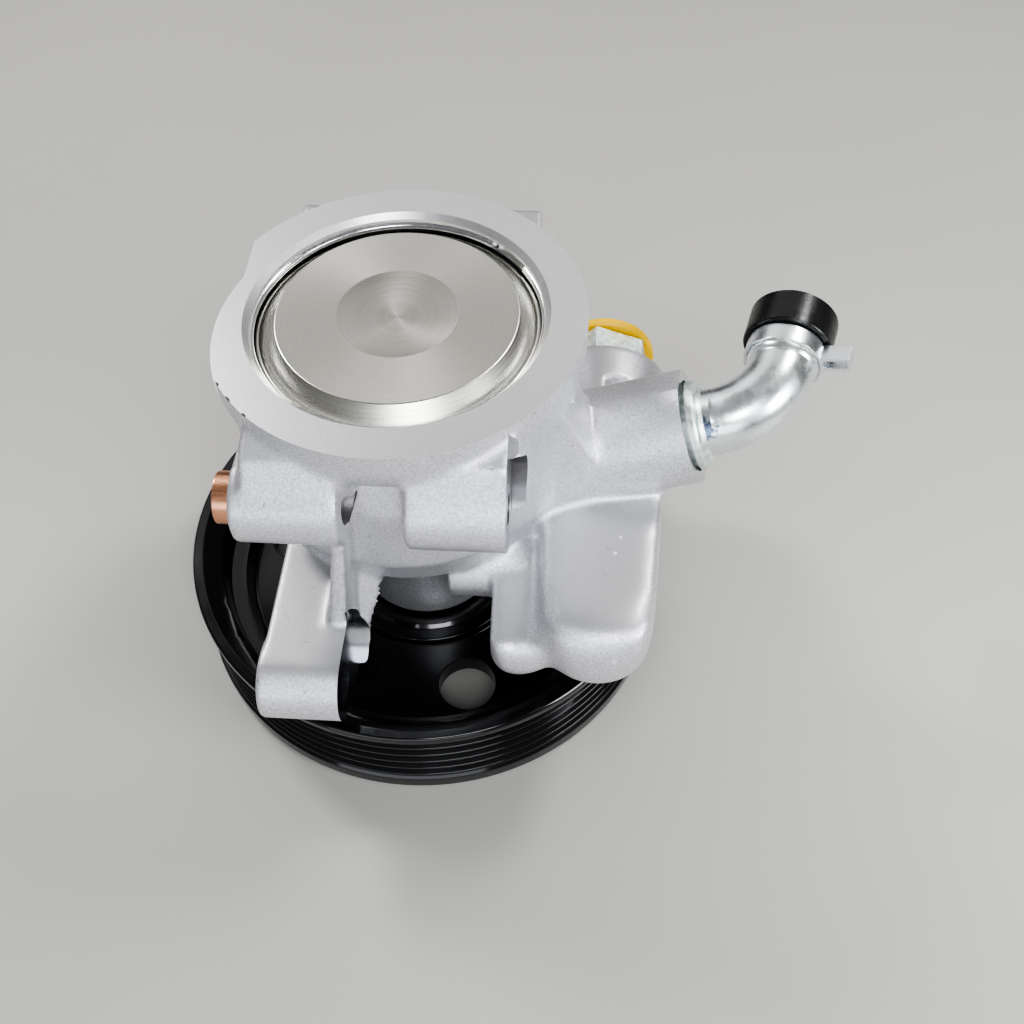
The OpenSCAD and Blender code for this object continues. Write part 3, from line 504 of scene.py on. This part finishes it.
def casting(node, cast, turned_face, milled_face, painted_shade_face):
    """The pump housing as a softened casting with crisp machined faces."""
    whole = combined(welded(node.data), blank_solids(), "UNION")
    obj = add_object("housing_casting", combined(whole, hollow_solids(), "DIFFERENCE"))
    obj.data.materials.clear()
    remesh = obj.modifiers.new("remesh", "REMESH")
    remesh.mode, remesh.voxel_size = "VOXEL", VOXEL * MM
    obj.data = baked(obj)
    obj.modifiers.clear()
    soften(obj.data)
    slim = obj.modifiers.new("slim", "DECIMATE")
    slim.ratio = SLIM
    blank = baked(obj)
    obj.modifiers.clear()
    blank.materials.append(cast)
    cutters = []
    for cuts, face in ((turned_cuts(), turned_face), (milled_cuts(), milled_face), (shaded_cuts(), painted_shade_face)):
        for cut in cuts:
            cut.materials.append(face)
        cutters += cuts
    obj.data = combined(blank, cutters, "DIFFERENCE")
    smooth_faces(obj, CAST_SHARP)
    return obj


def pipe_collar():
    """The flange of the inlet pipe that stands proud of the boss, over a narrow dark slot."""
    slot_r = FLANGE_R - FLANGE_SLOT
    foot = [(0, FLANGE_FOOT), (slot_r, FLANGE_FOOT), (slot_r, FLANGE_GAP)]
    edge = [(FLANGE_R - 0.2, FLANGE_GAP), (FLANGE_R, FLANGE_GAP + 0.2), (FLANGE_R, FLANGE_OUT - 0.9)]
    face = [(FLANGE_R - 0.4, FLANGE_OUT - 0.4), (PIPE_R + 0.7, FLANGE_OUT)]
    neck = [(PIPE_R + 0.05, FLANGE_OUT + 0.9), (0, FLANGE_OUT + 0.9)]
    hole = rod(PIPE_R + 0.02, -5, 10, frame_boss(), 120)
    whole = turned(foot + edge + face + neck, frame_boss())
    obj = add_object("pipe_collar", combined(whole, [hole], "DIFFERENCE"))
    smooth_faces(obj, FLANGE_SHARP)
    return obj


def cover():
    """The rear cover turned finer than the CAD node, with the same outline."""
    low, high = COVER_Z + COVER_GROOVE[0], COVER_Z + COVER_GROOVE[1]
    groove_r = COVER_R - COVER_GROOVE_DEEP
    hollow_z = COVER_Z + COVER_HOLLOW
    under = [(0, hollow_z), (COVER_HOLLOW_R, hollow_z), (COVER_FOOT_R, COVER_Z), (COVER_R - 1.15, COVER_Z),
             (COVER_R, COVER_Z + 1)]
    side = [(COVER_R, low), (groove_r, low), (groove_r, high), (COVER_R, high)]
    rim = [(COVER_R, COVER_RIM_Z - 0.4), (COVER_R - 0.35, COVER_RIM_Z - 0.05), (COVER_R - 1.55, COVER_RIM_Z)]
    steps = [t / DISH_STEPS for t in range(DISH_STEPS, -1, -1)]
    dish = [(DISH_R * t, PLATEAU_Z - DISH_DEEP * (1 - t ** 2)) for t in steps]
    outline = under + side + rim + [(PLATEAU_R, PLATEAU_Z)] + dish
    obj = add_object("turned_cover", turned(outline, steps=240))
    smooth_faces(obj, COVER_SHARP)
    return obj


# Finishes.

class Finish:
    """A material under construction: each call adds a node and gives back its output."""

    def __init__(self, name, colour, metallic, roughness, **more):
        self.material = bpy.data.materials.new(name)
        self.material.use_nodes = True
        self.tree = self.material.node_tree
        self.shader = self.tree.nodes["Principled BSDF"]
        self.shader.inputs["Base Color"].default_value = (*colour, 1)
        self.shader.inputs["Metallic"].default_value = metallic
        self.shader.inputs["Roughness"].default_value = roughness
        for key, value in more.items():
            self.put(self.shader, key, value)
        self.place = self.add("ShaderNodeTexCoord").outputs["Object"]

    def add(self, kind, **inputs):
        """A node of that kind; inputs are values or outputs to link, by socket name or number (i0, i1)."""
        node = self.tree.nodes.new(kind)
        for key, value in inputs.items():
            self.put(node, key, value)
        return node

    def put(self, node, key, value):
        number = key[1:] if key[0] == "i" else ""
        socket = node.inputs[int(number) if number.isdigit() else key.replace("_", " ").title()]
        if isinstance(value, bpy.types.NodeSocket):
            self.tree.links.new(value, socket)
        else:
            socket.default_value = value

    def math(self, operation, a, b):
        node = self.add("ShaderNodeMath", i0=a, i1=b)
        node.operation = operation
        return node.outputs[0]

    def scaled(self, x, y, z):
        """The place in the part's frame, in metres, times a factor along each axis."""
        node = self.add("ShaderNodeVectorMath", i0=self.place, i1=(x, y, z))
        node.operation = "MULTIPLY"
        return node.outputs[0]

    def noise(self, scale, detail=2.0, roughness=0.5, place=None):
        """Noise from 0 to 1 with that many features in a metre."""
        node = self.add("ShaderNodeTexNoise", vector=place or self.place, scale=scale, detail=detail,
                        roughness=roughness)
        return node.outputs["Fac"]

    def span(self, value, low, high, to_low=0.0, to_high=1.0):
        """The value mapped from low..high to another span, held at its ends."""
        node = self.add("ShaderNodeMapRange", value=value, from_min=low, from_max=high,
                        to_min=to_low, to_max=to_high)
        return node.outputs[0]

    def mix(self, share, a, b):
        """Colour a where share is 0, colour b where it is 1."""
        node = self.add("ShaderNodeMix")
        node.data_type = "RGBA"
        for number, value in ((0, share), (6, a), (7, b)):
            value = (*value, 1) if isinstance(value, tuple) and len(value) == 3 else value
            self.put(node, f"i{number}", value)
        return node.outputs[2]

    def bump(self, height, distance, strength):
        """Surface relief of that depth in millimetres."""
        node = self.add("ShaderNodeBump", height=height, distance=distance * MM, strength=strength)
        return node.outputs[0]

    def radius(self):
        """Distance in millimetres from the upright axis of the part."""
        length = self.add("ShaderNodeVectorMath", i0=self.scaled(1 / MM, 1 / MM, 0))
        length.operation = "LENGTH"
        return length.outputs["Value"]

    def rings(self, radius, count, roughness):
        """Noise in rings about the axis, with that many features in a millimetre."""
        along = self.add("ShaderNodeCombineXYZ", i0=self.math("MULTIPLY", radius, count))
        return self.noise(1, 2, roughness, along.outputs[0])

    def near(self, point, reach, fray=0.6):
        """1 at a point of the frame and 0 beyond its reach in millimetres, with a frayed border."""
        node = self.add("ShaderNodeVectorMath", i0=self.place, i1=tuple(c * MM for c in point))
        node.operation = "DISTANCE"
        wander = self.math("MULTIPLY", self.math("SUBTRACT", self.noise(900, 2), 0.5), fray * reach * MM)
        away = self.math("ADD", node.outputs["Value"], wander)
        return self.span(away, 0.55 * reach * MM, 0.8 * reach * MM, 1.0, 0.0)

    def use(self, **sockets):
        """Links outputs to the shader's sockets."""
        for key, value in sockets.items():
            self.put(self.shader, key, value)


def cast_aluminium():
    m = Finish("blasted_casting", (0.72, 0.72, 0.75), 0.75, 0.5)
    grain = m.noise(1900, 3, 0.7)
    pits = m.span(m.noise(640, 2, 0.5), 0.68, 0.77)
    normal = m.add("ShaderNodeNewGeometry").outputs["True Normal"]
    upright = m.add("ShaderNodeSeparateXYZ", i0=normal).outputs[2]
    level = m.span(upright, 0.90, 0.99)
    colour = m.mix(m.noise(60, 3), (0.72, 0.72, 0.75), (0.80, 0.80, 0.82))
    colour = m.mix(m.span(grain, 0.45, 0.63, 0.0, 0.62), colour, (0.47, 0.47, 0.505))
    colour = m.mix(m.span(grain, 0.42, 0.32, 0.0, 0.6), colour, (0.95, 0.95, 0.96))
    # Painted shade: faces that look straight up are darkened.
    colour = m.mix(m.math("MULTIPLY", level, 0.85), colour, (0.47, 0.47, 0.472))
    colour = m.mix(m.math("MULTIPLY", pits, 0.5), colour, (0.32, 0.32, 0.35))
    # Painted highlight: chip marks on the casting get a near-white glint in their colour.
    for point, reach in CASTING_CHIP_GLINTS:
        colour = m.mix(m.near(point, reach), colour, (0.95, 0.95, 0.96))
    rough = m.span(grain, 0.3, 0.7, 0.34, 0.52)
    relief = m.math("SUBTRACT", grain, m.math("MULTIPLY", pits, 0.6))
    relief = m.math("MULTIPLY", relief, m.span(level, 0.0, 1.0, 1.0, 0.35))
    m.use(base_color=colour, roughness=rough, normal=m.bump(relief, 0.12, 0.7))
    return m.material


def machined_aluminium():
    m = Finish("machined_aluminium", (0.80, 0.80, 0.80), 1.0, 0.34)
    lines = m.rings(m.radius(), 4.0, 0.5)
    colour = m.mix(m.noise(900, 2), (0.77, 0.77, 0.775), (0.83, 0.83, 0.83))
    rough = m.span(m.noise(1500, 2, 0.6), 0.3, 0.7, 0.31, 0.38)
    m.use(base_color=colour, roughness=rough, normal=m.bump(lines, 0.005, 0.3))
    return m.material


def milled_aluminium(name, dark, light, low, high):
    """Milled metal between two colours and two values of roughness."""
    m = Finish(name, light, 1.0, low)
    lines = m.noise(1, 2, 0.5, m.scaled(300, 2400, 2400))
    colour = m.mix(m.noise(500, 2), dark, light)
    m.use(base_color=colour, roughness=m.span(lines, 0.3, 0.7, low, high), normal=m.bump(lines, 0.01, 0.3))
    return m.material


def turned_cover():
    """Turned steel whose rings are stronger in the dish than on the plateau, with painted shade of the rim's
    gap as a near-black band.
    """
    m = Finish("turned_steel", (0.64, 0.625, 0.57), 1.0, 0.28, anisotropic=0.65)
    ring = m.radius()
    grooves = m.rings(ring, 2.6, 0.6)
    wide = m.rings(ring, 0.45, 0.5)
    inside = m.span(ring, DISH_R - 0.6, DISH_R, 1.0, 0.25)
    colour = m.mix(m.math("MULTIPLY", wide, inside), (0.64, 0.625, 0.57), (0.47, 0.46, 0.42))
    # Painted shade: a near-black band at the rim, where the gap to the bore is.
    colour = m.mix(m.span(ring, COVER_R - 1.25, COVER_R - 0.85), colour, (0.025, 0.028, 0.026))
    rough = m.span(grooves, 0.3, 0.7, 0.25, 0.31)
    tangent = m.add("ShaderNodeTangent")
    tangent.direction_type, tangent.axis = "RADIAL", "Z"
    relief = m.bump(m.math("MULTIPLY", grooves, inside), 0.004, 0.3)
    m.use(base_color=colour, roughness=rough, normal=relief, tangent=tangent.outputs[0])
    return m.material


def bright_steel():
    m = Finish("bright_steel", (0.66, 0.67, 0.69), 1.0, 0.18)
    colour = m.mix(m.noise(400, 2), (0.58, 0.59, 0.61), (0.76, 0.77, 0.79))
    m.use(base_color=colour, roughness=m.span(m.noise(900, 2), 0.3, 0.7, 0.12, 0.24))
    return m.material


def dull_steel():
    m = Finish("dull_steel", (0.42, 0.42, 0.44), 1.0, 0.4)
    colour = m.mix(m.noise(300, 3), (0.34, 0.34, 0.36), (0.50, 0.50, 0.52))
    m.use(base_color=colour, roughness=m.span(m.noise(700, 2), 0.3, 0.7, 0.3, 0.5))
    return m.material


def bronze():
    m = Finish("sintered_bronze", (0.55, 0.40, 0.20), 1.0, 0.35)
    colour = m.mix(m.noise(500, 3), (0.46, 0.32, 0.15), (0.63, 0.47, 0.26))
    m.use(base_color=colour, roughness=m.span(m.noise(800, 2), 0.3, 0.7, 0.28, 0.45))
    return m.material


def copper():
    m = Finish("copper", (0.72, 0.36, 0.22), 1.0, 0.28)
    scratch = m.noise(1, 3, 0.6, m.scaled(250, 2600, 2600))
    colour = m.mix(m.noise(260, 3), (0.68, 0.33, 0.20), (0.82, 0.46, 0.30))
    rough = m.span(scratch, 0.3, 0.7, 0.22, 0.36)
    m.use(base_color=colour, roughness=rough, normal=m.bump(scratch, 0.005, 0.3))
    return m.material


def zinc(name, blotches=()):
    """Bright zinc with burnt blotches, each a place and its reach."""
    m = Finish(name, (0.90, 0.93, 0.94), 1.0, 0.28)
    spangle = m.noise(240, 3, 0.6)
    colour = m.mix(m.span(m.noise(60, 2), 0.4, 0.6), (0.86, 0.91, 0.89), (0.90, 0.92, 0.97))
    rough = m.span(spangle, 0.3, 0.7, 0.22, 0.36)
    for point, reach in blotches:
        burn = m.near(point, reach, 2.2)
        colour = m.mix(burn, colour, m.mix(m.noise(1500, 2), (0.05, 0.07, 0.13), (0.40, 0.50, 0.66)))
    m.use(base_color=colour, roughness=rough, normal=m.bump(spangle, 0.008, 0.2))
    return m.material


def zinc_hex(name):
    """Dull greenish zinc."""
    m = Finish(name, (0.70, 0.77, 0.73), 0.85, 0.42)
    flake = m.noise(700, 3, 0.65)
    colour = m.mix(m.span(flake, 0.35, 0.65), (0.58, 0.68, 0.63), (0.90, 0.95, 0.92))
    m.use(base_color=colour, roughness=m.span(flake, 0.3, 0.7, 0.30, 0.52), normal=m.bump(flake, 0.05, 0.4))
    return m.material


def amber_plastic():
    m = Finish("amber_plastic", (0.95, 0.55, 0.01), 0.0, 0.34, subsurface_weight=0.15)
    colour = m.mix(m.noise(120, 2), (0.92, 0.50, 0.005), (0.98, 0.60, 0.02))
    m.use(base_color=colour, roughness=m.span(m.noise(900, 2), 0.3, 0.7, 0.28, 0.42))
    return m.material


def black_rubber(name, low, high):
    """Black rubber whose roughness wanders between two values."""
    m = Finish(name, (0.012, 0.012, 0.012), 0.0, low)
    colour = m.mix(m.noise(260, 3), (0.007, 0.007, 0.007), (0.020, 0.020, 0.020))
    m.use(base_color=colour, roughness=m.span(m.noise(500, 3), 0.3, 0.7, low, high),
          normal=m.bump(m.noise(800, 2), 0.03, 0.3))
    return m.material


def black_paint():
    m = Finish("black_paint", (0.004, 0.004, 0.005), 0.0, 0.14, coat_weight=0.4, coat_roughness=0.06)
    dust = m.span(m.noise(1400, 2), 0.71, 0.80)
    colour = m.mix(m.math("MULTIPLY", dust, 0.10), (0.004, 0.004, 0.005), (0.20, 0.20, 0.20))
    m.use(base_color=colour, roughness=m.span(m.noise(60, 3), 0.3, 0.7, 0.10, 0.19),
          normal=m.bump(m.noise(330, 2), 0.02, 0.3))
    return m.material


def floor_finish():
    m = Finish("pale_floor", (0.46, 0.45, 0.425), 0.0, 0.45)
    m.use(base_color=m.mix(m.noise(8, 2), (0.44, 0.43, 0.405), (0.48, 0.47, 0.445)))
    return m.material


# Dressing and light.

def round_edges(obj, width):
    """Breaks the sharp edges of a piece without changing its mesh."""
    weld = obj.modifiers.new("weld", "WELD")
    weld.merge_threshold = 1e-6
    bevel = obj.modifiers.new("edges", "BEVEL")
    bevel.width, bevel.segments = width * MM, EDGE_SEGMENTS
    bevel.limit_method, bevel.angle_limit = "ANGLE", math.radians(EDGE_ANGLE)
    smooth = obj.modifiers.new("normals", "WEIGHTED_NORMAL")
    smooth.weight, smooth.keep_sharp = 100, True


def paint(obj, material):
    obj.data.materials.clear()
    obj.data.materials.append(material)


def area_light(name, place, target, size, power, colour):
    """A soft rectangular light that faces a target."""
    light = bpy.data.lights.new(name, "AREA")
    light.shape, light.size, light.size_y = "RECTANGLE", size[0] * MM, size[1] * MM
    light.energy, light.color = power, colour
    obj = add_object(name, light)
    obj.location = Vector(place) * MM
    obj.rotation_euler = (Vector(target) - Vector(place)).to_track_quat("-Z", "Y").to_euler()


def sky():
    """An even room light, brighter above and in front than at the back."""
    world = bpy.data.worlds.new("room")
    bpy.context.scene.world = world
    world.use_nodes = True
    tree = world.node_tree

    def ramp(value, low, high):
        """The value mapped from -1..1 to another span."""
        node = tree.nodes.new("ShaderNodeMapRange")
        node.inputs["From Min"].default_value, node.inputs["From Max"].default_value = -1.0, 1.0
        node.inputs["To Min"].default_value, node.inputs["To Max"].default_value = low, high
        tree.links.new(value, node.inputs["Value"])
        return node.outputs[0]

    place = tree.nodes.new("ShaderNodeTexCoord")
    split = tree.nodes.new("ShaderNodeSeparateXYZ")
    total = tree.nodes.new("ShaderNodeMath")
    tree.links.new(place.outputs["Generated"], split.inputs[0])
    tree.links.new(ramp(split.outputs[1], SKY_FRONT, 0.0), total.inputs[0])
    tree.links.new(ramp(split.outputs[2], 0.0, SKY_TOP), total.inputs[1])
    tree.links.new(total.outputs[0], tree.nodes["Background"].inputs["Strength"])
    tree.nodes["Background"].inputs["Color"].default_value = (0.97, 0.98, 1.0, 1)


def camera():
    """The camera of the photograph."""
    data = bpy.data.cameras.new("camera")
    data.sensor_width, data.lens = SENSOR, CAM_FOCAL / IMAGE * SENSOR
    data.clip_start, data.clip_end = 0.01, 10
    obj = add_object("camera", data)
    columns = (Vector(CAM_RIGHT), -Vector(CAM_DOWN), -Vector(CAM_FORWARD))
    axes = Matrix([[c[row] for c in columns] for row in range(3)])
    obj.matrix_world = Matrix.Translation(Vector(CAM_PLACE) * MM) @ axes.to_4x4()
    bpy.context.scene.camera = obj


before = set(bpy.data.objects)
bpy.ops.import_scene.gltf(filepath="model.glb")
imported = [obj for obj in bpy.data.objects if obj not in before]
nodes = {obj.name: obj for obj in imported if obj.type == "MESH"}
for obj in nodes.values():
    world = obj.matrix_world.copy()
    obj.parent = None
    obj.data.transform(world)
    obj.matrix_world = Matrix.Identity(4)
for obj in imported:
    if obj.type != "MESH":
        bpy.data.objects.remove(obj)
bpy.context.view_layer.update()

cast = cast_aluminium()
steel, dull, bush, nitrile = bright_steel(), dull_steel(), bronze(), black_rubber("nitrile", 0.3, 0.5)
finish = {
    "pump_housing": cast, "rear_cover": turned_cover(), "retaining_ring": steel, "cover_o_ring": nitrile,
    "cover_spring": steel, "pressure_plate": dull, "plate_o_ring": nitrile, "cam_ring": dull,
    "front_plate": dull, "rotor": dull, "vanes": steel, "dowel_pins": steel, "rotor_clip": steel,
    "drive_shaft": steel, "rear_bush": bush, "front_bush": bush, "shaft_seal": nitrile,
    "pulley": black_paint(), "flow_spool": steel, "flow_spring": steel, "outlet_union": zinc_hex("zinc_hex"),
    "union_o_ring": nitrile, "outlet_cap": amber_plastic(), "inlet_pipe": zinc("zinc_pipe", PIPE_BURNS),
    "inlet_o_ring": nitrile, "inlet_cap": black_rubber("cap_rubber", 0.2, 0.36),
    "hose_clip": zinc("zinc_clip"), "ear_bush": copper(),
}
for name, material in finish.items():
    paint(nodes[name], material)
for name, width in EDGE_WIDTHS.items():
    round_edges(nodes[name], width)

milled = milled_aluminium("milled_aluminium", (0.60, 0.61, 0.64), (0.72, 0.73, 0.76), 0.13, 0.22)
# A darker copy of the milled finish: painted shade for the cuts that sit in shade.
painted_shade_face = milled_aluminium("shaded_aluminium", (0.22, 0.22, 0.23), (0.31, 0.31, 0.32), 0.3, 0.42)
housing = casting(nodes["pump_housing"], cast, machined_aluminium(), milled, painted_shade_face)
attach(housing, "housing")
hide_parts("pump_housing")

disc = cover()
paint(disc, finish["rear_cover"])
round_edges(disc, COVER_EDGE)
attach(disc, "housing")
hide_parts("rear_cover")

flange = pipe_collar()
paint(flange, zinc_hex("zinc_collar"))
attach(flange, "housing")

floor = add_object("floor", block((-FLOOR_HALF, -FLOOR_HALF, -FLOOR_THICK), (FLOOR_HALF, FLOOR_HALF, 0)))
paint(floor, floor_finish())

sky()
for light in LIGHTS:
    area_light(*light)
bpy.context.scene.view_settings.look = "AgX - High Contrast"
camera()
